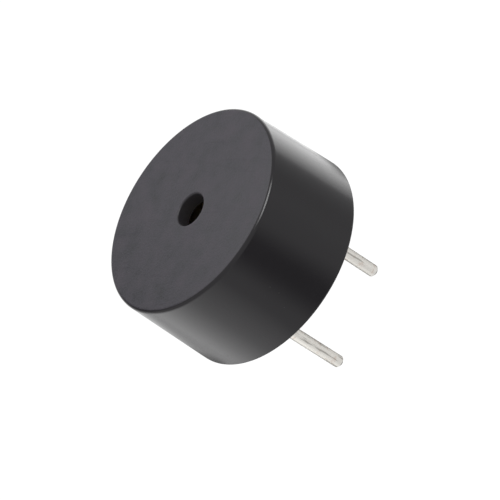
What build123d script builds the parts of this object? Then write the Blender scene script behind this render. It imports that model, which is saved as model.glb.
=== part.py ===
from build123d import *
from math import cos, radians, sin, tan
import os

# A round board-mounted piezo sounder: a moulded case with one sound hole, and two round pins.
# The origin is on the seating plane, at the middle between the pins. +Z points up, out of the
# sound hole, and the pins stand along X. All lengths are in millimetres.

# Case, outside
case_top_diameter = 14.0
case_rim_diameter = 14.4
case_height = 7.0
top_edge_radius = 0.25
rim_edge_radius = 0.15
skirt_wall = 0.85

# Roof, sound hole and resonance chamber
roof_thickness = 1.0
sound_hole_diameter = 2.2
sound_hole_edge_radius = 0.12
chamber_depth = 1.4
chamber_corner_radius = 0.3

# Diaphragm: a metal plate on the case's ledge, with the piezo disc under it
ledge_width = 0.7
plate_thickness = 0.2
plate_clearance = 0.1
ceramic_margin = 1.5
ceramic_thickness = 0.2
bond_width = 0.5
bond_height = 0.45

# Base plate, which closes the case and carries the pins
base_seat_width = 0.25
base_clearance = 0.05
base_thickness = 1.0
base_recess = 0.25
bore_lead_in = 0.15
boss_diameter = 2.4
boss_height = 0.8
boss_root_radius = 0.15
boss_edge_radius = 0.1
collar_diameter = 2.0
collar_height = 0.18
collar_edge_chamfer = 0.05
vent_diameter = 0.8
vent_distance = 3.4

# Locating key in the case, and its notch in the base plate
key_width = 1.2
key_depth = 0.4
key_clearance = 0.05

# Resin bead round the base plate
bead_width = 0.5
bead_height = 0.35
bead_climb = 0.08
bead_hollow = 0.03

# Pins
pin_pitch = 6.35
pin_diameter = 0.8
pin_length = 8.0
pin_tip_chamfer = 0.16
pin_stub = 0.5
pin_root_diameter = 1.2

# Leads and solder
lead_diameter = 0.25
lead_tail = 1.4
lead_swing = 1.2
lead_reach = 2.0
lead_overlap = 0.2
lead_gap = 0.05
solder_dot_diameter = 0.9
solder_dot_height = 0.38
solder_dome_diameter = 2.1
solder_dome_height = 0.8
dot_angle = 25.0
ceramic_dot_margin = 0.65

# Heights above the seating plane, worked out from the sizes above
roof_underside = case_height - roof_thickness
ledge_height = roof_underside - chamber_depth
plate_underside = ledge_height - plate_thickness
ceramic_underside = plate_underside - ceramic_thickness
base_top = base_recess + base_thickness
boss_top = base_top + boss_height
collar_face = base_recess - collar_height
bead_top = base_recess + bead_height

# Radii that pieces share
base_bore_radius = case_rim_diameter / 2 - skirt_wall
base_radius = base_bore_radius - base_clearance
plate_bore_radius = base_bore_radius - base_seat_width
plate_radius = plate_bore_radius - plate_clearance
chamber_radius = plate_bore_radius - ledge_width
ceramic_radius = plate_radius - ceramic_margin
bond_inner_radius = plate_bore_radius - bond_width
pin_places = {"pin_1": pin_pitch / 2, "pin_2": -pin_pitch / 2}


def turned(outline):
    """A round solid from its half-section, drawn as X = radius and Y = height."""
    return revolve(Plane.XZ * make_face(outline), Axis.Z)


def upright_cylinder(x, y, radius, bottom, top):
    """Cylinder on a vertical axis between two heights."""
    standing = (Align.CENTER, Align.CENTER, Align.MIN)
    return Pos(x, y, bottom) * Cylinder(radius, top - bottom, align=standing)


def rings_at(solid, end):
    """The circular edges at the lowest (0) or highest (-1) level, the smallest first."""
    return solid.edges().filter_by(GeomType.CIRCLE).group_by(Axis.Z)[end].sort_by(SortBy.RADIUS)


def ring_of(solid, radius, height):
    """The circular edges of one radius at one height."""
    rings = solid.edges().filter_by(GeomType.CIRCLE)
    return [
        ring
        for ring in rings
        if abs(ring.radius - radius) < 0.001 and abs(ring.center().Z - height) < 0.001
    ]


def make_case():
    """Moulded cup with a drafted wall, stepped inside for the diaphragm and the base plate."""
    hole_radius = sound_hole_diameter / 2
    cup = turned(
        Polyline(
            (hole_radius, case_height),
            (case_top_diameter / 2, case_height),
            (case_rim_diameter / 2, 0),
            (base_bore_radius, 0),
            (base_bore_radius, base_top),
            (plate_bore_radius, base_top),
            (plate_bore_radius, ledge_height),
            (chamber_radius, ledge_height),
            (chamber_radius, roof_underside),
            (hole_radius, roof_underside),
            close=True,
        )
    )
    cup = fillet(rings_at(cup, -1)[-1], top_edge_radius)
    cup = fillet(rings_at(cup, -1)[0], sound_hole_edge_radius)
    cup = fillet(rings_at(cup, 0)[-1], rim_edge_radius)
    cup = chamfer(rings_at(cup, 0)[0], bore_lead_in)
    cup = fillet(ring_of(cup, chamber_radius, roof_underside), chamber_corner_radius)
    return cup + key_block(key_width, key_depth, bead_top)


def key_block(width, depth, bottom):
    """Block that stands inwards from the base's bore at +Y, up to the base's seat."""
    rooted = depth + base_clearance + key_clearance
    height = base_top - bottom
    block = Box(width, rooted, height, align=(Align.CENTER, Align.MIN, Align.MIN))
    return Pos(0, base_bore_radius - depth, bottom) * block


def make_pin(x):
    """Round pin with chamfered ends and a thicker root, which the base plate holds."""
    radius = pin_diameter / 2
    root_radius = pin_root_diameter / 2
    pin_top = boss_top + pin_stub
    pin = turned(
        Polyline(
            (0, -pin_length),
            (radius - pin_tip_chamfer, -pin_length),
            (radius, -pin_length + pin_tip_chamfer),
            (radius, collar_face),
            (root_radius, collar_face),
            (root_radius, pin_top - pin_tip_chamfer),
            (root_radius - pin_tip_chamfer, pin_top),
            (0, pin_top),
            close=True,
        )
    )
    return Pos(x, 0, 0) * pin


def make_base_plate(pins):
    """Disc with a groove for the resin round its lower edge, moulded round both pins."""
    plate = turned(
        Polyline(
            (0, base_recess),
            (base_radius - bead_width, base_recess),
            (base_radius, bead_top),
            (base_radius, base_top),
            (0, base_top),
            close=True,
        )
    )
    for x in pin_places.values():
        plate += upright_cylinder(x, 0, boss_diameter / 2, base_top, boss_top)
        plate += upright_cylinder(x, 0, collar_diameter / 2, collar_face, base_recess)
    plate = fillet(ring_of(plate, boss_diameter / 2, base_top), boss_root_radius)
    plate = fillet(ring_of(plate, boss_diameter / 2, boss_top), boss_edge_radius)
    plate = chamfer(ring_of(plate, collar_diameter / 2, collar_face), collar_edge_chamfer)
    plate -= upright_cylinder(0, -vent_distance, vent_diameter / 2, base_recess, base_top)
    plate -= key_block(key_width + 2 * key_clearance, key_depth + key_clearance, base_recess)
    for pin in pins:
        plate -= pin
    return plate


def make_sealing_bead(case, base_plate):
    """Resin in the groove between base plate and case, with a slightly hollow surface."""
    inner = base_radius - bead_width
    wall_bottom = base_recess - bead_climb
    middle = ((inner + base_bore_radius) / 2, (base_recess + wall_bottom) / 2 + bead_hollow)
    surface = ThreePointArc((inner, base_recess), middle, (base_bore_radius, wall_bottom))
    sides = Polyline(
        (base_bore_radius, wall_bottom),
        (base_bore_radius, bead_top),
        (inner, bead_top),
        (inner, base_recess),
    )
    return turned(surface + sides) - base_plate - case


def make_diaphragm_plate():
    """Metal disc that lies against the case's ledge."""
    return upright_cylinder(0, 0, plate_radius, plate_underside, ledge_height)


def make_piezo_ceramic():
    """Piezo disc under the middle of the plate."""
    return upright_cylinder(0, 0, ceramic_radius, ceramic_underside, plate_underside)


def make_bonding_ring():
    """Silicone round the plate's edge, with a hollow fillet down the case's wall."""
    foot = (plate_bore_radius, plate_underside - bond_height)
    lip = (bond_inner_radius, plate_underside)
    fillet_face = TangentArc(lip, foot, tangent=(1, 0))
    sides = Polyline(
        foot,
        (plate_bore_radius, ledge_height),
        (plate_radius, ledge_height),
        (plate_radius, plate_underside),
        lip,
    )
    return turned(fillet_face + sides)


def solder_dome(diameter, height):
    """Low dome of solder on the plane Z = 0, part of a ball."""
    rim = (diameter / 2, 0)
    top = (0, height)
    return turned(Line((0, 0), rim) + TangentArc(top, rim, tangent=(1, 0)) + Line(top, (0, 0)))


def corner_radii(points):
    """The largest bend at each inner point that leaves a little of the runs beside it straight."""
    radii = []
    for before, here, after in zip(points, points[1:], points[2:]):
        run_in = here - before
        run_out = after - here
        shorter = min(run_in.length, run_out.length)
        radii.append(0.45 * shorter / tan(radians(run_in.get_angle(run_out) / 2)))
    return radii


def make_lead(start, pin_x):
    """Fine wire from a solder dot, in one loose turn round the pin, to the pin's inner side."""
    side = 1 if pin_x > 0 else -1
    leaving = Vector(side * sin(radians(dot_angle)), cos(radians(dot_angle)), 0)
    tail = start + leaving * lead_tail - Vector(0, 0, lead_gap)
    outer_x = pin_x + side * lead_swing
    inner_x = pin_x - side * ((pin_root_diameter + lead_diameter) / 2 + lead_gap)
    end_z = boss_top + lead_diameter / 2 + lead_gap
    bow_z = (tail.Z + end_z) / 2
    outer_turn = Vector(outer_x, lead_reach, bow_z)
    inner_turn = Vector(inner_x, lead_reach, (bow_z + end_z) / 2)
    end = Vector(inner_x, -lead_overlap, end_z)
    points = [start, tail, outer_turn, inner_turn, end]
    radii = corner_radii(points)
    print(f"lead to x = {pin_x:+.3f}: bends of", ", ".join(f"{r:.2f}" for r in radii), "mm")
    path = FilletPolyline(*points, radius=radii)
    return sweep((path ^ 0) * Circle(lead_diameter / 2), path=path)


def dot_place(distance, side):
    """Where a solder dot sits under the diaphragm, on the side of its own pin."""
    return Vector(side * distance * cos(radians(dot_angle)), -distance * sin(radians(dot_angle)), 0)


def make_sounder():
    """Every piece of the sounder, by name."""
    case = make_case()
    pins = {name: make_pin(x) for name, x in pin_places.items()}
    base_plate = make_base_plate(pins.values())

    plate_dot_distance = (ceramic_radius + bond_inner_radius) / 2
    ceramic_dot_distance = ceramic_radius - ceramic_dot_margin - solder_dot_diameter / 2
    plate_dot = dot_place(plate_dot_distance, 1) + Vector(0, 0, plate_underside)
    ceramic_dot = dot_place(ceramic_dot_distance, -1) + Vector(0, 0, ceramic_underside)
    below = Vector(0, 0, lead_diameter / 2 + lead_gap)
    leads = {
        "lead_plate": make_lead(plate_dot - below, pin_places["pin_1"]),
        "lead_ceramic": make_lead(ceramic_dot - below, pin_places["pin_2"]),
    }

    dot = Rot(180, 0, 0) * solder_dome(solder_dot_diameter, solder_dot_height)
    dome = Pos(0, 0, boss_top) * solder_dome(solder_dome_diameter, solder_dome_height)
    solder = {
        "solder_plate": Pos(plate_dot) * dot - leads["lead_plate"],
        "solder_ceramic": Pos(ceramic_dot) * dot - leads["lead_ceramic"],
        "solder_pin_1": Pos(pin_places["pin_1"], 0, 0) * dome - pins["pin_1"] - leads["lead_plate"],
        "solder_pin_2": Pos(pin_places["pin_2"], 0, 0) * dome - pins["pin_2"] - leads["lead_ceramic"],
    }

    return {
        "case": case,
        "base_plate": base_plate,
        "sealing_bead": make_sealing_bead(case, base_plate),
        "diaphragm_plate": make_diaphragm_plate(),
        "piezo_ceramic": make_piezo_ceramic(),
        "bonding_ring": make_bonding_ring(),
        **pins,
        **leads,
        **solder,
    }


os.makedirs("parts", exist_ok=True)
for name, piece in make_sounder().items():
    export_step(piece, f"parts/{name}.step")
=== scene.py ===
from math import cos, pi, radians, sin

import bpy
import numpy as np
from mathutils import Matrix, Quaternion, Vector


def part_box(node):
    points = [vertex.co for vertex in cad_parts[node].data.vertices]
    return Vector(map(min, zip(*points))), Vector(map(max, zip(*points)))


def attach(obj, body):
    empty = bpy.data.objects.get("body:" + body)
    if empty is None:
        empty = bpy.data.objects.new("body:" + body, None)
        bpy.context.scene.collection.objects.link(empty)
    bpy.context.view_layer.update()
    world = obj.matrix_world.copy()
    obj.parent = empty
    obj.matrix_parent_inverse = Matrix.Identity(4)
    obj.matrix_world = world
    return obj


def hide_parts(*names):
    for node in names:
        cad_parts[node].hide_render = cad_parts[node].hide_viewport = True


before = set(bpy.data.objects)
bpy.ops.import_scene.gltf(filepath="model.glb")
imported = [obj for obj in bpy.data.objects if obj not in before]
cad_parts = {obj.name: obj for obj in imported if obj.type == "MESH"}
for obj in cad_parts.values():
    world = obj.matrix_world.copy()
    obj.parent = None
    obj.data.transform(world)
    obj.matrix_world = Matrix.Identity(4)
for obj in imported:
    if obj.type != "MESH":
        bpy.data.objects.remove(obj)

# A round board-mounted piezo sounder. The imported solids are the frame: +Z points out of the sound
# hole, the pins stand along X, and the seating plane is at height 0. All lengths are in metres.

bl_info = {
    "name": "Piezo sounder",
    "version": (1, 0, 0),
    "blender": (4, 5, 0),
    "location": "3D View > Sidebar > Sounder",
    "description": "Shapes, finishes and lights a board-mounted piezo sounder",
    "category": "Object",
}

MM = 0.001
BODY = "root"
SMOOTH_BELOW = radians(35)
DUST_COLOUR = (0.25, 0.24, 0.23, 1)


# Surfaces

def unit(vectors):
    """Vectors divided by their lengths."""
    return vectors / np.linalg.norm(vectors, axis=-1, keepdims=True)


def rounded_corner(before, corner, after, rounding, steps, support):
    """Points that round one corner of an outline.

    The arc touches both runs at rounding / tan(half angle) from the corner, and its centre lies at
    rounding / sin(half angle) along the bisector. A point turns about the centre from one touching
    point to the other in equal angles. One support point stands just beyond each end of the arc.
    """
    back = unit(before - corner)
    ahead = unit(after - corner)
    if rounding == 0:
        return corner[None]
    half = np.arccos(np.clip(back @ ahead, -1, 1)) / 2
    reach = rounding / np.tan(half)
    centre = corner + unit(back + ahead) * rounding / np.sin(half)
    first = corner + back * reach - centre
    last = corner + ahead * reach - centre
    turn = pi - 2 * half
    along = np.linspace(0, 1, steps + 1)[:, None]
    arc = centre + (np.sin((1 - along) * turn) * first + np.sin(along * turn) * last) / np.sin(turn)
    return np.vstack([corner + back * (reach + support), arc, corner + ahead * (reach + support)])


def rounded_outline(corners, closed, steps=10, support=0.03 * MM):
    """Half-section of a turned piece from its corners (radius, height, rounding)."""
    points = np.array([corner[:2] for corner in corners])
    befores = np.roll(points, 1, axis=0)
    afters = np.roll(points, -1, axis=0)
    stretches = []
    for number, (before, point, after) in enumerate(zip(befores, points, afters)):
        at_end = not closed and number in (0, len(points) - 1)
        rounding = 0 if at_end else corners[number][2]
        stretches.append(rounded_corner(before, point, after, rounding, steps, support))
    return np.vstack(stretches)


def divided(outline, closed, spacing):
    """The outline with its long runs cut into equal steps no longer than the spacing."""
    following = np.roll(outline, -1, axis=0)
    if not closed:
        following = following[:-1]
    runs = []
    for start, end in zip(outline, following):
        steps = max(1, int(np.ceil(np.linalg.norm(end - start) / spacing)))
        along = np.linspace(0, 1, steps, endpoint=False)[:, None]
        runs.append(start + (end - start) * along)
    if not closed:
        runs.append(outline[-1:])
    return np.vstack(runs)


def grid_faces(rows, columns, close_rows):
    """Quads of a grid whose columns go all the way round, with their corners anticlockwise."""
    index = np.arange(rows * columns).reshape(rows, columns)
    above = np.roll(index, -1, axis=0)
    if not close_rows:
        index, above = index[:-1], above[:-1]
    corners = [index, np.roll(index, -1, axis=1), np.roll(above, -1, axis=1), above]
    return np.stack(corners, axis=-1).reshape(-1, 4)


def new_piece(name, *shells):
    """Object at the origin, made of closed shells (points, faces), smooth below its sharp angle."""
    points = np.vstack([shell[0] for shell in shells])
    faces = []
    passed = 0
    for shell_points, shell_faces in shells:
        faces += [[passed + corner for corner in face] for face in shell_faces]
        passed += len(shell_points)
    mesh = bpy.data.meshes.new(name)
    mesh.from_pydata(points.tolist(), [], faces)
    mesh.shade_smooth()
    mesh.set_sharp_from_angle(angle=SMOOTH_BELOW)
    mesh.validate()
    piece = bpy.data.objects.new(name, mesh)
    bpy.context.scene.collection.objects.link(piece)
    return piece


def ring_shell(radii, heights, angles):
    """Closed ring-shaped shell: x = radius cos(angle), y = radius sin(angle), z = height.

    Radii and heights are grids with a row for each point of the half-section, which runs
    anticlockwise, and a column for each angle.
    """
    points = np.stack([radii * np.cos(angles), radii * np.sin(angles), heights], axis=-1)
    faces = grid_faces(*radii.shape, close_rows=True)
    return points.reshape(-1, 3), faces.tolist()


def spindle_shell(radii, heights, angles, centre):
    """Closed shell turned about an upright axis: the grids of ring_shell, and a pole at each end.

    The first and last rows, whose radius is zero, become one point each, with a fan of triangles.
    """
    rows, columns = radii[1:-1].shape
    ring = np.stack([radii * np.cos(angles), radii * np.sin(angles), heights], axis=-1)[1:-1]
    poles = np.array([[0, 0, heights[0, 0]], [0, 0, heights[-1, 0]]])
    points = np.vstack([ring.reshape(-1, 3), poles]) + np.array([centre[0], centre[1], 0])
    quads = grid_faces(rows, columns, close_rows=False)
    first = np.arange(columns)
    last = first + (rows - 1) * columns
    bottom, top = rows * columns, rows * columns + 1
    lower_fan = np.stack([np.full(columns, bottom), np.roll(first, -1), first], axis=-1)
    upper_fan = np.stack([last, np.roll(last, -1), np.full(columns, top)], axis=-1)
    return points, quads.tolist() + lower_fan.tolist() + upper_fan.tolist()


def upright_prism(outline, bottom, top):
    """Closed shell over an outline (x, y) that runs anticlockwise, with flat ends."""
    corners = len(outline)
    levels = [np.column_stack([outline, np.full(corners, level)]) for level in (bottom, top)]
    sides = grid_faces(2, corners, close_rows=False).tolist()
    ends = [list(range(corners))[::-1], list(range(corners, 2 * corners))]
    return np.vstack(levels), sides + ends


def round_angles(columns):
    """Equally spaced angles once round, without the last, which is the first again."""
    return np.linspace(0, 2 * pi, columns, endpoint=False)


def repeated(outline, angles):
    """Radius and height grids of an outline that is the same at every angle."""
    shape = (len(outline), len(angles))
    return (
        np.broadcast_to(outline[:, :1], shape).copy(),
        np.broadcast_to(outline[:, 1:], shape).copy(),
    )


# Shader helpers

def fill(tree, socket, value):
    """Sets an input, or links it if the value is another node's output."""
    if isinstance(value, bpy.types.NodeSocket):
        tree.links.new(value, socket)
    else:
        socket.default_value = value


def fill_inputs(tree, node, **values):
    """Sets or links a node's inputs by name, with a low line for each space."""
    for name, value in values.items():
        fill(tree, node.inputs[name.replace("_", " ")], value)


def add_node(tree, kind, **values):
    """New shader node, with its inputs set or linked by name."""
    node = tree.nodes.new(kind)
    fill_inputs(tree, node, **values)
    return node


def add_math(tree, operation, first, second=0.0, clamp=False):
    """Math node with its two inputs set or linked, and its result."""
    node = tree.nodes.new("ShaderNodeMath")
    node.operation = operation
    node.use_clamp = clamp
    fill(tree, node.inputs[0], first)
    fill(tree, node.inputs[1], second)
    return node.outputs["Value"]


def add_range(tree, value, low, high, to_low, to_high):
    """Value carried from one range to another, clamped, and smooth at both ends."""
    node = tree.nodes.new("ShaderNodeMapRange")
    node.interpolation_type = "SMOOTHSTEP"
    fill_inputs(tree, node, Value=value, From_Min=low, From_Max=high, To_Min=to_low, To_Max=to_high)
    return node.outputs["Result"]


def add_colour_mix(tree, share, first, second):
    """Colour between two colours by a share from 0 to 1."""
    node = tree.nodes.new("ShaderNodeMix")
    node.data_type = "RGBA"
    node.clamp_factor = True
    for name, value in (("Factor_Float", share), ("A_Color", first), ("B_Color", second)):
        fill(tree, next(s for s in node.inputs if s.identifier == name), value)
    return next(s for s in node.outputs if s.identifier == "Result_Color")


def add_noise(tree, vector, scale, detail=2.0, roughness=0.5):
    """Noise from -0.5 to 0.5 at a number of features per metre."""
    node = add_node(
        tree, "ShaderNodeTexNoise", Vector=vector, Scale=scale, Detail=detail, Roughness=roughness
    )
    return add_math(tree, "SUBTRACT", node.outputs["Fac"], 0.5)


def rgba(colour):
    """Colour property with full alpha."""
    return (*colour, 1.0)


def new_group(name, inputs, outputs):
    """Empty shader node group with float inputs (name, default) and float outputs."""
    group = bpy.data.node_groups.new(name, "ShaderNodeTree")
    for label, default in inputs:
        socket = group.interface.new_socket(label, in_out="INPUT", socket_type="NodeSocketFloat")
        socket.default_value = default
    for label in outputs:
        group.interface.new_socket(label, in_out="OUTPUT", socket_type="NodeSocketFloat")
    return group, group.nodes.new("NodeGroupInput"), group.nodes.new("NodeGroupOutput")


def object_point(tree):
    """The point on the piece in the part's own frame, in metres."""
    return tree.nodes.new("ShaderNodeTexCoord").outputs["Object"]


def apart(tree, vector):
    """The X, Y and Z of a vector, as the outputs of one node."""
    return add_node(tree, "ShaderNodeSeparateXYZ", Vector=vector).outputs


def from_axis(tree, place):
    """Distance from the part's upright axis."""
    squares = [add_math(tree, "POWER", place[axis], 2.0) for axis in "XY"]
    return add_math(tree, "SQRT", add_math(tree, "ADD", *squares))


def stretched(tree, shrinking, turn=(0, 0, 0)):
    """The point turned, then shrunk along X, Y and Z, so that a pattern runs along one of them."""
    node = add_node(
        tree, "ShaderNodeMapping", Vector=object_point(tree), Rotation=turn, Scale=shrinking
    )
    return node.outputs["Vector"]


def make_moulded_grain():
    """Skin of a moulded surface: a fine even grain, with slow flow marks under it."""
    group, given, result = new_group(
        "moulded_grain",
        [("Grain Size", 0.12 * MM), ("Flow Size", 2.5 * MM)],
        ["Height", "Tone", "Flow"],
    )
    point = object_point(group)
    grain_scale = add_math(group, "DIVIDE", 1.0, given.outputs["Grain Size"])
    flow_scale = add_math(group, "DIVIDE", 1.0, given.outputs["Flow Size"])
    grain = add_noise(group, point, grain_scale, detail=3.0, roughness=0.6)
    flow = add_noise(group, point, flow_scale, detail=2.0)
    fill_inputs(group, result, Height=grain, Tone=add_math(group, "ADD", grain, flow), Flow=flow)
    return group


def make_handling_marks():
    """Faint hairline scratches, where a slow noise crosses zero, and a little dust, as masks from
    0 to 1."""
    group, given, result = new_group(
        "handling_marks",
        [("Scratch Spacing", 1.6 * MM), ("Dust Size", 0.08 * MM)],
        ["Scratch", "Dust"],
    )
    aslant = stretched(group, (1, 0.08, 1), turn=(0.35, 0.2, 0.9))
    scratch_scale = add_math(group, "DIVIDE", 1.0, given.outputs["Scratch Spacing"])
    wander = add_noise(group, aslant, scratch_scale, detail=4.0, roughness=0.7)
    line = add_math(group, "ABSOLUTE", wander)
    line_width = 0.006
    speck_size, specks_a_cell = 0.07, 0.12
    dust_scale = add_math(group, "DIVIDE", specks_a_cell, given.outputs["Dust Size"])
    cells = add_node(group, "ShaderNodeTexVoronoi", Vector=object_point(group), Scale=dust_scale)
    scratch = add_range(group, line, 0.0, line_width, 1.0, 0.0)
    dust = add_range(group, cells.outputs["Distance"], 0.0, speck_size, 1.0, 0.0)
    fill_inputs(group, result, Scratch=scratch, Dust=dust)
    return group


def make_drawn_streaks():
    """Lengthwise marks that a drawing die leaves in wire: fine streaks and a few broad ones.
    The broad ones, given as Tone, also darken the pins' colour as a painted dark reflection.
    """
    group, given, result = new_group(
        "drawn_streaks", [("Fine Size", 0.05 * MM), ("Broad Size", 0.22 * MM)], ["Height", "Tone"]
    )
    fine_scale = add_math(group, "DIVIDE", 1.0, given.outputs["Fine Size"])
    broad_scale = add_math(group, "DIVIDE", 1.0, given.outputs["Broad Size"])
    fine = add_noise(group, stretched(group, (1, 1, 0.02)), fine_scale, detail=2.0)
    broad = add_noise(
        group, stretched(group, (1, 1, 0.06)), broad_scale, detail=3.0, roughness=0.65
    )
    fine_share = 0.4
    height = add_math(group, "ADD", add_math(group, "MULTIPLY", fine, fine_share), broad)
    fill_inputs(group, result, Height=height, Tone=broad)
    return group


GROUPS = {
    "moulded_grain": make_moulded_grain,
    "handling_marks": make_handling_marks,
    "drawn_streaks": make_drawn_streaks,
}


def effect(tree, name, **values):
    """Copy of a shared effect in a material, with its own values."""
    group = bpy.data.node_groups.get(name) or GROUPS[name]()
    node = tree.nodes.new("ShaderNodeGroup")
    node.node_tree = group
    for key, value in values.items():
        node.inputs[key.replace("_", " ").title()].default_value = value
    return node.outputs


def new_material(name):
    """Node material with one surface shader."""
    material = bpy.data.materials.new(name)
    material.use_nodes = True
    tree = material.node_tree
    return material, tree, tree.nodes["Principled BSDF"]


def add_bump(tree, surface, height, distance):
    """Bump of a height field, whose full range is the distance."""
    bump = add_node(tree, "ShaderNodeBump", Height=height, Distance=distance, Strength=1.0)
    fill_inputs(tree, surface, Normal=bump.outputs["Normal"])


def around(tree, middle, spread, *fields):
    """A value that varies about a middle: middle + spread times the sum of the fields."""
    total = fields[0]
    for field in fields[1:]:
        total = add_math(tree, "ADD", total, field)
    return add_math(tree, "ADD", add_math(tree, "MULTIPLY", total, spread), middle)


# Finishes

def case_plastic(look):
    """Black moulded plastic: a fine eroded texture on the roof, a polished wall, and a plain matt
    skin inside, where the mould's core was."""
    material, tree, surface = new_material("case_plastic")
    grain = effect(tree, "moulded_grain", grain_size=look.grain_size, flow_size=1.2 * MM)
    marks = effect(tree, "handling_marks", scratch_spacing=2.4 * MM, dust_size=0.1 * MM)
    place = apart(tree, object_point(tree))
    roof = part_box("case")[1].z
    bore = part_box("sealing_bead")[1].x
    on_roof = add_range(tree, place["Z"], roof - 0.03 * MM, roof - 0.004 * MM, 0.0, 1.0)
    in_core = add_range(tree, from_axis(tree, place), bore + 0.05 * MM, bore + 0.3 * MM, 1.0, 0.0)
    skin = add_colour_mix(tree, in_core, rgba(look.wall_colour), rgba(look.core_colour))
    warmth = around(tree, 0.5, 3.0, grain["Flow"])
    roof_skin = add_colour_mix(tree, warmth, rgba(look.roof_colour), rgba(look.roof_tint))
    base = add_colour_mix(tree, on_roof, skin, roof_skin)
    tone = add_math(tree, "MULTIPLY", grain["Tone"], 2 * look.roof_mottling)
    shade = add_math(tree, "ADD", add_math(tree, "MULTIPLY", tone, on_roof), 1.0)
    mottled = add_node(tree, "ShaderNodeHueSaturation", Value=shade, Color=base).outputs["Color"]
    dust = add_math(tree, "MULTIPLY", marks["Dust"], 0.12)
    core = add_math(tree, "MULTIPLY", in_core, 0.3)
    polish = add_math(tree, "ADD", around(tree, look.wall_roughness, 0.08, grain["Tone"]), core)
    matt = around(tree, look.roof_roughness, 0.4, grain["Tone"])
    change = add_math(tree, "SUBTRACT", matt, polish)
    rough = add_math(tree, "ADD", polish, add_math(tree, "MULTIPLY", change, on_roof))
    scuff = add_math(tree, "MULTIPLY", marks["Scratch"], 0.08)
    fill_inputs(
        tree,
        surface,
        Base_Color=add_colour_mix(tree, dust, mottled, DUST_COLOUR),
        Roughness=add_math(tree, "ADD", rough, scuff, clamp=True),
        Specular_IOR_Level=look.gloss_level,
    )
    wall_depth = 0.1
    depth = add_math(tree, "ADD", add_math(tree, "MULTIPLY", on_roof, 1 - wall_depth), wall_depth)
    add_bump(tree, surface, add_math(tree, "MULTIPLY", grain["Height"], depth), look.grain_depth)
    return material


def base_plastic(look):
    """Black moulded plastic of the base, a little greyer and more matt than the case."""
    material, tree, surface = new_material("base_plastic")
    grain = effect(tree, "moulded_grain", grain_size=0.16 * MM, flow_size=1.8 * MM)
    marks = effect(tree, "handling_marks", scratch_spacing=1.5 * MM, dust_size=0.08 * MM)
    tone = add_math(tree, "ADD", add_math(tree, "MULTIPLY", grain["Tone"], 0.8), 1.0)
    mottled = add_node(tree, "ShaderNodeHueSaturation", Value=tone, Color=rgba(look.base_colour))
    dust = add_math(tree, "MULTIPLY", marks["Dust"], 0.3)
    fill_inputs(
        tree,
        surface,
        Base_Color=add_colour_mix(tree, dust, mottled.outputs["Color"], DUST_COLOUR),
        Roughness=around(tree, 0.42, 0.25, grain["Tone"], marks["Scratch"]),
    )
    add_bump(tree, surface, grain["Height"], 0.012 * MM)
    return material


def cured_resin(look):
    """Poured resin: a dark, glossy skin with slow ripples and a few pinhole bubbles."""
    material, tree, surface = new_material("cured_resin")
    point = object_point(tree)
    ripple = add_noise(tree, point, 1 / (0.9 * MM), detail=1.5)
    cells = add_node(tree, "ShaderNodeTexVoronoi", Vector=point, Scale=1 / (0.9 * MM))
    bubble = add_range(tree, cells.outputs["Distance"], 0.05, 0.12, 0.0, 1.0)
    tone = around(tree, 0.5, 1.0, ripple)
    brown = (0.045, 0.036, 0.03, 1)
    fill_inputs(
        tree,
        surface,
        Base_Color=add_colour_mix(tree, tone, rgba(look.resin_colour), brown),
        Roughness=around(tree, 0.13, 0.12, ripple),
    )
    height = add_math(tree, "ADD", ripple, add_math(tree, "MULTIPLY", bubble, 0.4))
    add_bump(tree, surface, height, 0.02 * MM)
    return material


def tinned_wire(look):
    """Tin-plated wire of the pins: dull silver with drawing marks. Its darker streaks are partly
    drawing marks and partly a painted dark reflection along each pin.
    """
    material, tree, surface = new_material("tinned_wire")
    streaks = effect(tree, "drawn_streaks", fine_size=0.05 * MM, broad_size=0.17 * MM)
    marks = effect(tree, "handling_marks", scratch_spacing=0.8 * MM, dust_size=0.05 * MM)
    # Painted dark reflection: the broad streaks darken the tin, partly as drawing marks and partly
    # in place of a dark reflection along the pin.
    streak_and_painted_reflection = add_range(tree, streaks["Tone"], 0.07, 0.12, 0.0, look.streak_and_reflection_darkness)
    blotches = add_noise(tree, object_point(tree), 1 / (0.35 * MM), detail=3.0)
    stained = add_range(tree, blotches, 0.06, 0.18, 0.0, 0.5)
    stain_colour = (0.56, 0.46, 0.40, 1)
    streak_and_reflection_colour = (0.2, 0.19, 0.17, 1)
    tin = add_colour_mix(tree, stained, rgba(look.tin_colour), stain_colour)
    fill_inputs(
        tree,
        surface,
        Base_Color=add_colour_mix(tree, streak_and_painted_reflection, tin, streak_and_reflection_colour),
        Metallic=1.0,
        Specular_Tint=(0.15, 0.15, 0.14, 1),
        Roughness=around(tree, look.tin_roughness, 0.2, streaks["Tone"], marks["Scratch"]),
    )
    add_bump(tree, surface, streaks["Height"], 0.012 * MM)
    return material


def rolled_brass(look):
    """Thin rolled brass of the diaphragm: straight rolling marks under a dull film of tarnish,
    which scatters light as a bare metal wouldn't."""
    material, tree, surface = new_material("rolled_brass")
    lines = add_noise(tree, stretched(tree, (1, 0.03, 1)), 1 / (0.06 * MM), detail=2.0)
    tarnish = add_noise(tree, object_point(tree), 1 / (2.2 * MM), detail=4.0)
    film = add_range(tree, tarnish, 0.02, 0.22, 0.0, 0.55)
    tarnish_colour = (0.45, 0.3, 0.13, 1)
    fill_inputs(
        tree,
        surface,
        Base_Color=add_colour_mix(tree, film, rgba(look.brass_colour), tarnish_colour),
        Metallic=add_range(tree, tarnish, 0.02, 0.22, 0.5, 0.2),
        Roughness=around(tree, 0.34, 0.22, lines, tarnish),
    )
    add_bump(tree, surface, lines, 0.004 * MM)
    return material


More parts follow.
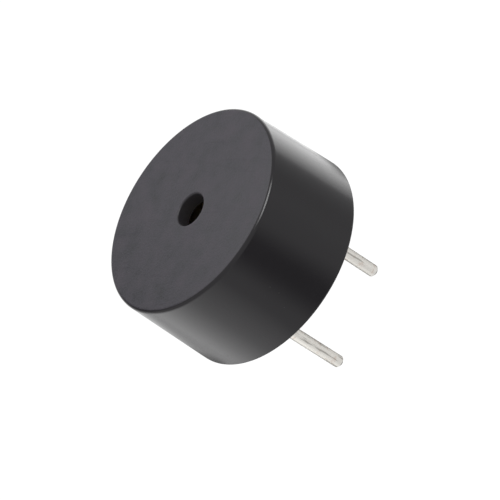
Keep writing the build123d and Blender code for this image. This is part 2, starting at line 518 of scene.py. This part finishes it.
def fired_ceramic(look):
    """Pale piezo disc with a fired silver face below, which stops short of its bare rim."""
    material, tree, surface = new_material("fired_ceramic")
    low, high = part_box("piezo_ceramic")
    place = apart(tree, object_point(tree))
    edge = high.x - look.bare_rim
    inside = add_range(tree, from_axis(tree, place), edge - 0.02 * MM, edge, 1.0, 0.0)
    below = add_range(tree, place["Z"], low.z + 0.01 * MM, low.z + 0.03 * MM, 1.0, 0.0)
    silvered = add_math(tree, "MULTIPLY", inside, below)
    print_grain = add_noise(tree, object_point(tree), 1 / (0.07 * MM), detail=3.0)
    body = add_noise(tree, object_point(tree), 1 / (0.3 * MM), detail=4.0)
    shaded_ceramic = (0.5, 0.48, 0.4, 1)
    shaded_silver = (0.62, 0.61, 0.58, 1)
    bare_tone = around(tree, 0.5, 1.0, body)
    bare = add_colour_mix(tree, bare_tone, rgba(look.ceramic_colour), shaded_ceramic)
    coat_tone = around(tree, 0.5, 1.2, print_grain)
    coat = add_colour_mix(tree, coat_tone, rgba(look.silver_colour), shaded_silver)
    fill_inputs(
        tree,
        surface,
        Base_Color=add_colour_mix(tree, silvered, bare, coat),
        Metallic=silvered,
        Roughness=around(tree, 0.48, 0.2, print_grain),
    )
    add_bump(tree, surface, print_grain, 0.006 * MM)
    return material


def white_silicone(look):
    """Cured silicone: milky, soft-looking and slightly uneven."""
    material, tree, surface = new_material("white_silicone")
    lumps = add_noise(tree, object_point(tree), 1 / (0.7 * MM), detail=3.0)
    tone = around(tree, 0.5, 1.2, lumps)
    shaded = (0.62, 0.62, 0.58, 1)
    fill_inputs(
        tree,
        surface,
        Base_Color=add_colour_mix(tree, tone, rgba(look.silicone_colour), shaded),
        Roughness=around(tree, 0.38, 0.2, lumps),
        Subsurface_Weight=0.25,
        Subsurface_Scale=0.3 * MM,
    )
    add_bump(tree, surface, lumps, 0.03 * MM)
    return material


def enamelled_copper(look):
    """Fine copper wire under a clear reddish enamel, which is a little uneven along the wire."""
    material, tree, surface = new_material("enamelled_copper")
    runs = add_noise(tree, object_point(tree), 1 / (0.35 * MM), detail=3.0)
    thickness = around(tree, 0.5, 1.4, runs)
    thick_enamel = (0.3, 0.085, 0.025, 1)
    fill_inputs(
        tree,
        surface,
        Base_Color=add_colour_mix(tree, thickness, rgba(look.enamel_colour), thick_enamel),
        Metallic=1.0,
        Coat_Weight=0.8,
        Coat_Roughness=0.08,
        Roughness=around(tree, 0.28, 0.15, runs),
    )
    add_bump(tree, surface, runs, 0.006 * MM)
    return material


def frozen_solder(look):
    """Frozen solder: bright, with frosty patches where it set last and a trace of flux."""
    material, tree, surface = new_material("frozen_solder")
    point = object_point(tree)
    frost = add_noise(tree, point, 1 / (0.25 * MM), detail=4.0, roughness=0.6)
    flux = add_noise(tree, point, 1 / (0.6 * MM), detail=2.0)
    frosted = (0.55, 0.55, 0.55, 1)
    flux_colour = (0.4, 0.27, 0.1, 1)
    metal = add_colour_mix(tree, around(tree, 0.5, 1.2, frost), rgba(look.solder_colour), frosted)
    stained = add_range(tree, flux, 0.12, 0.3, 0.0, 0.6)
    fill_inputs(
        tree,
        surface,
        Base_Color=add_colour_mix(tree, stained, metal, flux_colour),
        Metallic=1.0,
        Roughness=around(tree, 0.25, 0.5, frost),
    )
    add_bump(tree, surface, frost, 0.01 * MM)
    return material


def make_edge_smoothing():
    """Modifier group that welds loose triangles and shades a node smooth between sharp edges."""
    group = bpy.data.node_groups.new("edge_smoothing", "GeometryNodeTree")
    group.interface.new_socket("Geometry", in_out="INPUT", socket_type="NodeSocketGeometry")
    group.interface.new_socket("Geometry", in_out="OUTPUT", socket_type="NodeSocketGeometry")
    given = group.nodes.new("NodeGroupInput")
    result = group.nodes.new("NodeGroupOutput")
    weld = group.nodes.new("GeometryNodeMergeByDistance")
    weld.inputs["Distance"].default_value = 0.0005 * MM
    angle = group.nodes.new("GeometryNodeInputMeshEdgeAngle")
    is_smooth = group.nodes.new("FunctionNodeCompare")
    is_smooth.operation = "LESS_THAN"
    faces = group.nodes.new("GeometryNodeSetShadeSmooth")
    edges = group.nodes.new("GeometryNodeSetShadeSmooth")
    edges.domain = "EDGE"
    is_smooth.inputs["B"].default_value = SMOOTH_BELOW
    link = group.links.new
    link(given.outputs[0], weld.inputs["Geometry"])
    link(weld.outputs[0], faces.inputs["Geometry"])
    link(faces.outputs[0], edges.inputs["Geometry"])
    link(angle.outputs["Unsigned Angle"], is_smooth.inputs["A"])
    link(is_smooth.outputs[0], edges.inputs["Shade Smooth"])
    link(edges.outputs[0], result.inputs[0])
    return group


def finish_node(name, material):
    """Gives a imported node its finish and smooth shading. Its mesh and place stay as they are."""
    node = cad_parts[name]
    for slot in node.material_slots:
        slot.material = material
    smoothing = node.modifiers.new("edge_smoothing", "NODES")
    smoothing.node_group = bpy.data.node_groups.get("edge_smoothing") or make_edge_smoothing()


def settle(piece, node, material):
    """Puts a new piece in a node's place, on its body, with its finish."""
    piece.data.materials.append(material)
    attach(piece, BODY)
    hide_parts(node)


# Settings

def length(name, description, default):
    """Length property in metres."""
    return bpy.props.FloatProperty(
        name=name, description=description, default=default, min=0.0, precision=5,
        unit="LENGTH", subtype="DISTANCE",
    )


def share(name, description, default):
    """Number from 0 to 1."""
    return bpy.props.FloatProperty(
        name=name, description=description, default=default, min=0.0, max=1.0, subtype="FACTOR"
    )


def colour(name, description, default):
    """Linear colour property."""
    return bpy.props.FloatVectorProperty(
        name=name, description=description, default=default, min=0.0, max=1.0,
        size=3, subtype="COLOR",
    )


def count(name, description, default):
    """Whole number of steps."""
    return bpy.props.IntProperty(name=name, description=description, default=default, min=3)


class CaseSizes(bpy.types.PropertyGroup):
    """Sizes of the moulded case that its box doesn't give."""

    top_diameter: length("Top diameter", "Across the top, before its edge is rounded", 14.0 * MM)
    rim_diameter: length("Rim diameter", "Across the rim, before its edge is rounded", 14.4 * MM)
    top_edge: length("Top edge radius", "Rounding round the roof", 0.25 * MM)
    rim_edge: length("Rim edge radius", "Rounding outside the seating rim", 0.15 * MM)
    hole_diameter: length("Sound hole diameter", "Bore of the sound hole", 2.2 * MM)
    hole_edge: length("Sound hole edge radius", "Rounding round the sound hole", 0.12 * MM)
    roof: length("Roof thickness", "Wall over the chamber", 1.0 * MM)
    chamber_corner: length("Chamber corner radius", "Rounding under the roof", 0.3 * MM)
    ledge_width: length("Ledge width", "Seat of the diaphragm", 0.7 * MM)
    base_seat: length("Base seat height", "Height of the step that the base plate meets", 1.25 * MM)
    lead_in: length("Bore lead-in", "Chamfer at the mouth of the bore", 0.15 * MM)
    key_width: length("Key width", "Locating key, across", 1.2 * MM)
    key_depth: length("Key depth", "Locating key, inwards from the bore", 0.4 * MM)
    key_edge: length("Key edge radius", "Rounding of the key's front corners", 0.08 * MM)
    columns: count("Columns", "Steps round the case", 288)


class BeadSizes(bpy.types.PropertyGroup):
    """Shape of the resin's open surface."""

    width: length("Width", "From the case's bore to the inner edge", 0.55 * MM)
    clearance: length("Base clearance", "Gap beside the base plate that the resin fills", 0.05 * MM)
    climb: length("Climb", "How much lower the resin ends on the case than on the base", 0.08 * MM)
    hollow: length("Hollow", "How far its middle stands back", 0.03 * MM)
    unevenness: length("Unevenness", "How far the poured surface wanders", 0.012 * MM)
    columns: count("Columns", "Steps round the bead", 288)


class PinSizes(bpy.types.PropertyGroup):
    """Sizes of the round pins that their boxes don't give."""

    diameter: length("Diameter", "Of the shank", 0.8 * MM)
    chamfer: length("Tip chamfer", "At both ends", 0.16 * MM)
    collar_face: length("Collar face", "Height where the thicker root begins", 0.07 * MM)
    edge: length("Edge radius", "Small rounding at each corner", 0.03 * MM)
    columns: count("Columns", "Steps round a pin", 72)


class Finishes(bpy.types.PropertyGroup):
    """Colours and surface values that a user would change."""

    wall_colour: colour("Case wall", "Black plastic of the wall", (0.0122, 0.0104, 0.0132))
    roof_colour: colour("Case roof", "Textured plastic of the roof", (0.0305, 0.029, 0.039))
    roof_tint: colour("Roof tint", "Where the textured plastic is browner", (0.034, 0.030, 0.038))
    core_colour: colour("Case inside", "Matt plastic of bores and chamber", (0.034, 0.032, 0.037))
    roof_mottling: share("Roof mottling", "How uneven the roof's colour is", 0.8)
    wall_roughness: share("Wall roughness", "Of the polished wall", 0.16)
    roof_roughness: share("Roof roughness", "Of the textured roof", 0.45)
    gloss_level: share("Gloss level", "How much light the plastic reflects", 0.3)
    grain_size: length("Grain size", "Of the roof's texture", 0.13 * MM)
    grain_depth: length("Grain depth", "Of the roof's texture", 0.012 * MM)
    base_colour: colour("Base plate", "Black plastic of the base", (0.018, 0.018, 0.019))
    resin_colour: colour("Resin", "Cured sealing resin", (0.022, 0.019, 0.017))
    tin_colour: colour("Pins", "Tin plating", (0.70, 0.68, 0.64))
    tin_roughness: share("Pin roughness", "Of the tin plating", 0.42)
    # Darkness of the pins' broad streaks, which are partly drawing marks and partly a painted dark
    # reflection.
    streak_and_reflection_darkness: share("Streak darkness", "Of the marks along the pins", 0.6)
    brass_colour: colour("Diaphragm", "Rolled brass", (0.80, 0.62, 0.30))
    ceramic_colour: colour("Ceramic", "Bare piezo ceramic", (0.62, 0.58, 0.46))
    silver_colour: colour("Silver face", "Fired silver", (0.82, 0.81, 0.78))
    bare_rim: length("Bare rim", "Of the ceramic, outside its silver", 0.35 * MM)
    silicone_colour: colour("Silicone", "Cured silicone", (0.80, 0.80, 0.78))
    enamel_colour: colour("Leads", "Enamelled copper", (0.50, 0.20, 0.08))
    solder_colour: colour("Solder", "Frozen solder", (0.70, 0.70, 0.70))


class StageLook(bpy.types.PropertyGroup):
    """Floor, background and lamps."""

    floor_drop: length("Floor drop", "How far the floor lies below the seating plane", 60 * MM)
    floor_colour: colour("Floor", "Pale floor", (0.72, 0.72, 0.72))
    ambient: share("Ambient", "Strength of the light from all round", 0.6)


# Pieces

class SOUNDER_OT_case(bpy.types.Operator):
    """Moulded case, inside and out"""

    bl_idname = "sounder.case"
    bl_label = "Case"

    def execute(self, context):
        """A half-section turned about Z, and the key: an upright block with rounded front corners,
        whose root lies in the wall."""
        size = context.scene.sounder_case
        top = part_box("case")[1].z
        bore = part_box("sealing_bead")[1].x
        plate_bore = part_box("bonding_ring")[1].x
        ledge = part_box("diaphragm_plate")[1].z
        chamber = plate_bore - size.ledge_width
        hole = size.hole_diameter / 2
        outline = rounded_outline(
            [
                (size.rim_diameter / 2, 0, size.rim_edge),
                (size.top_diameter / 2, top, size.top_edge),
                (hole, top, size.hole_edge),
                (hole, top - size.roof, 0),
                (chamber, top - size.roof, size.chamber_corner),
                (chamber, ledge, 0),
                (plate_bore, ledge, 0),
                (plate_bore, size.base_seat, 0),
                (bore, size.base_seat, 0),
                (bore, size.lead_in, 0),
                (bore + size.lead_in, 0, 0),
            ],
            closed=True,
        )
        outline = divided(outline, closed=True, spacing=0.5 * MM)
        angles = round_angles(size.columns)
        cup = ring_shell(*repeated(outline, angles), angles)
        side = size.key_width / 2
        front, root = bore - size.key_depth, bore + size.lead_in
        key_outline = rounded_outline(
            [
                (side, front, size.key_edge),
                (side, root, 0),
                (-side, root, 0),
                (-side, front, size.key_edge),
            ],
            closed=True,
            steps=4,
        )
        key = upright_prism(key_outline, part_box("sealing_bead")[1].z, size.base_seat)
        piece = new_piece("case_shell", cup, key)
        settle(piece, "case", case_plastic(context.scene.sounder_finish))
        return {"FINISHED"}


class SOUNDER_OT_base(bpy.types.Operator):
    """Base plate, and the resin bead that seals it"""

    bl_idname = "sounder.base"
    bl_label = "Base plate and resin"

    def execute(self, context):
        """The bead's open surface is a line from the base plate's edge down to the bore, set back
        by a parabola, and lifted by three slow sine waves round the ring."""
        size = context.scene.sounder_bead
        finish = context.scene.sounder_finish
        finish_node("base_plate", base_plastic(finish))
        low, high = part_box("sealing_bead")
        bore = high.x
        inner = bore - size.width
        edge_height = low.z + size.climb
        across = np.linspace(0, 1, 13)
        parabola = 4 * across * (1 - across)
        level = edge_height - across * size.climb + parabola * size.hollow
        surface = np.stack([inner + across * size.width, level], axis=-1)
        behind = np.array([[bore, high.z], [bore - size.clearance, high.z]])
        outline = np.vstack([surface, behind])
        angles = round_angles(size.columns)
        radii, heights = repeated(outline, angles)
        waves = ((3, 1.0, 0.4), (7, 0.6, 2.0), (13, 0.4, 5.0))
        wave = sum(
            share_of_height * np.sin(times_round * angles + start)
            for times_round, share_of_height, start in waves
        )
        middle = np.zeros(len(outline))
        middle[: len(across)] = parabola
        heights += middle[:, None] * wave * size.unevenness
        piece = new_piece("resin_bead", ring_shell(radii, heights, angles))
        settle(piece, "sealing_bead", cured_resin(finish))
        return {"FINISHED"}


class SOUNDER_OT_pins(bpy.types.Operator):
    """The two tinned pins"""

    bl_idname = "sounder.pins"
    bl_label = "Pins"

    def execute(self, context):
        """Each pin is a half-section turned about its own upright axis."""
        size = context.scene.sounder_pins
        material = tinned_wire(context.scene.sounder_finish)
        for name in ("pin_1", "pin_2"):
            low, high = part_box(name)
            middle = (low + high) / 2
            root = (high.x - low.x) / 2
            shank = size.diameter / 2
            outline = rounded_outline(
                [
                    (0, low.z, 0),
                    (shank - size.chamfer, low.z, size.edge),
                    (shank, low.z + size.chamfer, size.edge),
                    (shank, size.collar_face, 0),
                    (root, size.collar_face, 0),
                    (root, high.z - size.chamfer, size.edge),
                    (root - size.chamfer, high.z, size.edge),
                    (0, high.z, 0),
                ],
                closed=False,
                steps=5,
                support=0.01 * MM,
            )
            outline = divided(outline, closed=False, spacing=0.25 * MM)
            angles = round_angles(size.columns)
            radii, heights = repeated(outline, angles)
            piece = new_piece(name + "_wire", spindle_shell(radii, heights, angles, middle))
            settle(piece, name, material)
        return {"FINISHED"}


class SOUNDER_OT_diaphragm(bpy.types.Operator):
    """Brass plate, piezo ceramic and the silicone that holds them"""

    bl_idname = "sounder.diaphragm"
    bl_label = "Diaphragm"

    def execute(self, context):
        """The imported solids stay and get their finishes."""
        finish = context.scene.sounder_finish
        finish_node("diaphragm_plate", rolled_brass(finish))
        finish_node("piezo_ceramic", fired_ceramic(finish))
        finish_node("bonding_ring", white_silicone(finish))
        return {"FINISHED"}


class SOUNDER_OT_wiring(bpy.types.Operator):
    """Leads and their solder joints"""

    bl_idname = "sounder.wiring"
    bl_label = "Leads and solder"

    def execute(self, context):
        """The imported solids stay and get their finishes."""
        finish = context.scene.sounder_finish
        copper = enamelled_copper(finish)
        solder = frozen_solder(finish)
        for name in ("lead_plate", "lead_ceramic"):
            finish_node(name, copper)
        for name in ("solder_plate", "solder_ceramic", "solder_pin_1", "solder_pin_2"):
            finish_node(name, solder)
        return {"FINISHED"}


# Stage

AIM = Vector((0.152, 0.761, 1.141)) * MM
CAMERA_DISTANCE = 247.5 * MM
CAMERA_ROLL = radians(-57.24)
CORNERS = ((-1, -1), (1, -1), (1, 1), (-1, 1))


def direction(azimuth, elevation):
    """Unit vector at an azimuth from +X towards +Y and an elevation, in degrees."""
    a, e = radians(azimuth), radians(elevation)
    return Vector((cos(a) * cos(e), sin(a) * cos(e), sin(e)))


TOWARDS_CAMERA = direction(-109.67, 34.29)


def facing(place):
    """Turn that points a lamp or a scrim from its place to where the camera aims."""
    return (AIM - place).to_track_quat("-Z", "Y")


def add_camera(scene):
    """Long lens at the photograph's angle, rolled as the photograph is."""
    data = bpy.data.cameras.new("camera")
    data.sensor_width = 36
    data.lens = 288
    camera = bpy.data.objects.new("camera", data)
    scene.collection.objects.link(camera)
    camera.location = AIM + TOWARDS_CAMERA * CAMERA_DISTANCE
    camera.rotation_mode = "QUATERNION"
    roll = Quaternion((0, 0, 1), CAMERA_ROLL)
    camera.rotation_quaternion = (-TOWARDS_CAMERA).to_track_quat("-Z", "Y") @ roll
    data.clip_start = 10 * MM
    data.clip_end = 10
    scene.camera = camera


def add_soft_box(
    scene, name, azimuth, elevation, distance, width, height, brightness, falloff=(0.4, 0.4)
):
    """Rectangular lamp that faces the part, dimmer towards its edges.

    White paper in front of its middle would show the brightness. Across and up the lamp it falls
    as 1 - falloff times the square of the distance from the middle, in half-widths.
    """
    data = bpy.data.lights.new(name, "AREA")
    data.shape = "RECTANGLE"
    data.size = width
    data.size_y = height
    data.energy = brightness * pi * width * height
    data.use_nodes = True
    tree = data.node_tree
    place = apart(tree, tree.nodes.new("ShaderNodeNewGeometry").outputs["Parametric"])
    drops = []
    for axis, loss in zip("XY", falloff):
        aside = add_math(tree, "MULTIPLY", add_math(tree, "SUBTRACT", place[axis], 0.5), 2.0)
        drop = add_math(tree, "MULTIPLY", add_math(tree, "POWER", aside, 2.0), loss)
        drops.append(add_math(tree, "SUBTRACT", 1.0, drop))
    fill_inputs(tree, tree.nodes["Emission"], Strength=add_math(tree, "MULTIPLY", *drops))
    lamp = bpy.data.objects.new(name, data)
    lamp.location = AIM + direction(azimuth, elevation) * distance
    lamp.rotation_mode = "QUATERNION"
    lamp.rotation_quaternion = facing(lamp.location)
    lamp.visible_camera = False
    scene.collection.objects.link(lamp)
    return lamp


def add_scrim(scene, name, azimuth, elevation, distance, width, height, density, even=(0.1, 0.1)):
    """Black net that only reflections see. It is even over a share of its half-width and of its
    half-height, and thins out from there to its edges."""
    middle = AIM + direction(azimuth, elevation) * distance
    turn = facing(middle)
    half = [turn @ Vector((width / 2, 0, 0)), turn @ Vector((0, height / 2, 0))]
    corners = [tuple(middle + half[0] * a + half[1] * b) for a, b in CORNERS]
    mesh = bpy.data.meshes.new(name)
    mesh.from_pydata(corners, [], [(0, 1, 2, 3)])
    mesh.uv_layers.new(name="net").data.foreach_set("uv", np.array(CORNERS, float).ravel())
    scrim = bpy.data.objects.new(name, mesh)
    scene.collection.objects.link(scrim)
    material, tree, surface = new_material(name)
    place = apart(tree, tree.nodes.new("ShaderNodeTexCoord").outputs["UV"])
    thin = []
    for axis, share_even in zip("XY", even):
        aside = add_math(tree, "ABSOLUTE", place[axis])
        thin.append(add_range(tree, aside, share_even, 1.0, 1.0, 0.0))
    cover = add_math(tree, "MULTIPLY", add_math(tree, "MULTIPLY", *thin), density)
    fill_inputs(tree, surface, Base_Color=(0.01, 0.01, 0.01, 1), Roughness=0.9, Alpha=cover)
    mesh.materials.append(material)
    scrim.visible_camera = False
    scrim.visible_shadow = False
    scrim.visible_diffuse = False


def seen_directly(tree):
    """1 for what the camera sees directly, mirrored or through something, and 0 for light."""
    path = tree.nodes.new("ShaderNodeLightPath")
    rays = add_math(tree, "ADD", path.outputs["Is Camera Ray"], path.outputs["Is Glossy Ray"])
    return add_math(tree, "ADD", rays, path.outputs["Is Transmission Ray"], clamp=True)


def add_world(scene, look):
    """White background, and an even light that is dimmer than it looks."""
    world = bpy.data.worlds.new("studio")
    world.use_nodes = True
    tree = world.node_tree
    extra = add_math(tree, "MULTIPLY", seen_directly(tree), 1 - look.ambient)
    strength = add_math(tree, "ADD", extra, look.ambient)
    fill_inputs(tree, tree.nodes["Background"], Color=(1, 1, 1, 1), Strength=strength)
    scene.world = world


def add_shader_mix(tree, share_of_second, first, second):
    """Shader between two shaders."""
    node = add_node(tree, "ShaderNodeMixShader", Fac=share_of_second)
    fill(tree, node.inputs[1], first.outputs[0])
    fill(tree, node.inputs[2], second.outputs[0])
    return node


def add_floor(scene, look):
    """Pale floor that looks white and keeps the shadow. From below it lets the camera through."""
    reach = 2.0
    mesh = bpy.data.meshes.new("floor")
    corners = [(a * reach, b * reach, -look.floor_drop) for a, b in CORNERS]
    mesh.from_pydata(corners, [], [(0, 1, 2, 3)])
    floor = bpy.data.objects.new("floor", mesh)
    scene.collection.objects.link(floor)
    material, tree, surface = new_material("pale_floor")
    speckle = add_noise(tree, object_point(tree), 1 / (4 * MM), detail=3.0)
    paler = (0.75, 0.75, 0.75, 1)
    tint = add_colour_mix(tree, around(tree, 0.5, 0.6, speckle), rgba(look.floor_colour), paler)
    fill_inputs(tree, surface, Base_Color=tint, Roughness=0.8, Specular_IOR_Level=0.0)
    glow = add_node(tree, "ShaderNodeEmission", Strength=1.45)
    glow_share = add_math(tree, "MULTIPLY", seen_directly(tree), 0.6)
    lit = add_shader_mix(tree, glow_share, surface, glow)
    clear = tree.nodes.new("ShaderNodeBsdfTransparent")
    from_below = tree.nodes.new("ShaderNodeNewGeometry").outputs["Backfacing"]
    shown = add_shader_mix(tree, from_below, lit, clear)
    fill_inputs(tree, tree.nodes["Material Output"], Surface=shown.outputs[0])
    mesh.materials.append(material)


def light_wall(scene):
    """Low soft boxes behind the part. The wall mirrors them in the bright bands at its outlines."""
    sideways = (0.9, 0.0)
    add_soft_box(scene, "soft_box_right", 13, -17, 54 * MM, 37 * MM, 40 * MM, 1.25, (0.4, 0.0))
    add_soft_box(scene, "soft_box_left", 145, -17, 54 * MM, 51 * MM, 40 * MM, 0.42, sideways)
    add_soft_box(scene, "soft_box_wing", 165, -17, 54 * MM, 94 * MM, 40 * MM, 0.72, sideways)
    add_soft_box(scene, "soft_box_edge", 54, -17, 54 * MM, 39 * MM, 40 * MM, 0.6, sideways)


def light_roof(scene):
    """One soft box over the roof, and a far one that only the roof's rounded edge mirrors."""
    add_soft_box(scene, "soft_box_top", 45, 70, 45 * MM, 40 * MM, 40 * MM, 1.95)
    edge_light = add_soft_box(
        scene, "edge_light", -62, 34, 150 * MM, 100 * MM, 90 * MM, 10.0, (0.7, 0.4)
    )
    edge_light.visible_diffuse = False


def shade_reflections(scene):
    """Scrims where the part would mirror too much white: the wall's front and sides, the rim's far
    edge, the sides of the pins, everything below, and the roof."""
    add_scrim(scene, "front_scrim", -110, -21, 36 * MM, 36 * MM, 15 * MM, 0.66, (0.1, 0.75))
    add_scrim(scene, "side_scrim", -28, -25, 36 * MM, 43 * MM, 24 * MM, 0.3, (0.1, 0.6))
    add_scrim(scene, "back_left_scrim", 108, -38, 24 * MM, 22 * MM, 17 * MM, 0.42, (0.1, 0.3))
    add_scrim(scene, "back_right_scrim", 29, -42, 24 * MM, 20 * MM, 12 * MM, 0.7, (0.5, 0.4))
    add_scrim(scene, "pin_scrim", 72, -48, 18.5 * MM, 20 * MM, 11 * MM, 0.9, (0.6, 0.6))
    for azimuth in (22, 120):
        add_scrim(scene, "pin_side_scrim", azimuth, -44, 17 * MM, 14 * MM, 11 * MM, 0.6, (0.3, 0.7))
    add_scrim(scene, "low_scrim", 0, -90, 34 * MM, 60 * MM, 60 * MM, 0.9)
    add_scrim(scene, "roof_scrim", 112, 34, 40 * MM, 50 * MM, 60 * MM, 0.8)


class SOUNDER_OT_stage(bpy.types.Operator):
    """Camera, lamps, background and floor"""

    bl_idname = "sounder.stage"
    bl_label = "Stage"

    def execute(self, context):
        """Black glossy plastic shows what it mirrors, so the lamps and scrims stand where the wall,
        the roof and the pins mirror them to the camera."""
        scene = context.scene
        scene.view_settings.view_transform = "Standard"
        add_camera(scene)
        add_world(scene, scene.sounder_stage)
        add_floor(scene, scene.sounder_stage)
        light_wall(scene)
        light_roof(scene)
        shade_reflections(scene)
        return {"FINISHED"}


class SOUNDER_PT_panel(bpy.types.Panel):
    """Lists the pieces of the sounder in the sidebar"""

    bl_idname = "SOUNDER_PT_panel"
    bl_label = "Sounder"
    bl_space_type = "VIEW_3D"
    bl_region_type = "UI"
    bl_category = "Sounder"

    def draw(self, context):
        """One button for each operator, then the settings."""
        layout = self.layout
        for operator in OPERATORS:
            layout.operator(operator.bl_idname)
        for name, group in SETTINGS.items():
            box = layout.box()
            for key in group.__annotations__:
                box.prop(getattr(context.scene, name), key)


SETTINGS = {
    "sounder_case": CaseSizes,
    "sounder_bead": BeadSizes,
    "sounder_pins": PinSizes,
    "sounder_finish": Finishes,
    "sounder_stage": StageLook,
}
OPERATORS = [
    SOUNDER_OT_case,
    SOUNDER_OT_base,
    SOUNDER_OT_pins,
    SOUNDER_OT_diaphragm,
    SOUNDER_OT_wiring,
    SOUNDER_OT_stage,
]


def register():
    """Registers the settings, operators and panel."""
    for name, group in SETTINGS.items():
        bpy.utils.register_class(group)
        setattr(bpy.types.Scene, name, bpy.props.PointerProperty(type=group))
    for operator in OPERATORS:
        bpy.utils.register_class(operator)
    bpy.utils.register_class(SOUNDER_PT_panel)


def unregister():
    """Takes them out again, in the opposite order."""
    bpy.utils.unregister_class(SOUNDER_PT_panel)
    for operator in reversed(OPERATORS):
        bpy.utils.unregister_class(operator)
    for name, group in reversed(SETTINGS.items()):
        delattr(bpy.types.Scene, name)
        bpy.utils.unregister_class(group)


def main():
    """Builds the whole scene."""
    register()
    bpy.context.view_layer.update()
    for operator in OPERATORS:
        group, action = operator.bl_idname.split(".")
        getattr(getattr(bpy.ops, group), action)()


if __name__ == "__main__":
    main()
